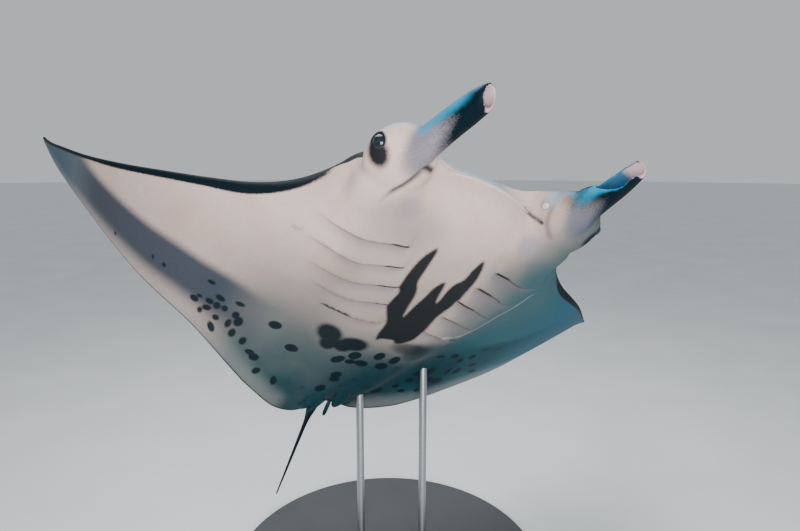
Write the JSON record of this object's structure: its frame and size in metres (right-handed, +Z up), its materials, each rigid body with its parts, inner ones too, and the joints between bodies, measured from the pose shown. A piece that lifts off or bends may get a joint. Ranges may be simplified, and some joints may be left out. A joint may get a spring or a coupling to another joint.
{
  "type": "manta ray model on a display stand",
  "caption": "Life-size still model of a reef manta ray, wings raised in a banking climb, held over a round base by two short rods.",
  "frame": {"origin": "centre of the round base's underside, on the floor", "axes": "+Z up; the animal heads towards -Y as it climbs, banked to its left, with its left wing towards +X and its right wing towards -X"},
  "size_m": [2.4572, 2.2122, 2.0354],
  "materials": {
    "belly_skin": "satin, pale with blue-black marks",
    "back_skin": "satin, near black",
    "eye": "polished",
    "base_paint": "matt",
    "rod_steel": "brushed"
  },
  "bodies": {
    "root": {"head": "belly_skin", "cephalic_fin_right": "back_skin", "cephalic_fin_left": "back_skin", "eye_right": "eye", "eye_left": "eye", "trunk": "belly_skin", "wing_right_inner": "belly_skin", "wing_right_outer": "belly_skin", "wing_left_inner": "belly_skin", "wing_left_outer": "belly_skin", "tail": "back_skin", "dorsal_fin": "back_skin", "pelvic_fin_right": "belly_skin", "pelvic_fin_left": "belly_skin", "clasper_right": "back_skin", "clasper_left": "back_skin", "stand_base": "base_paint", "stand_rod_front": "rod_steel", "stand_rod_rear": "rod_steel"}
  },
  "joints": []
}
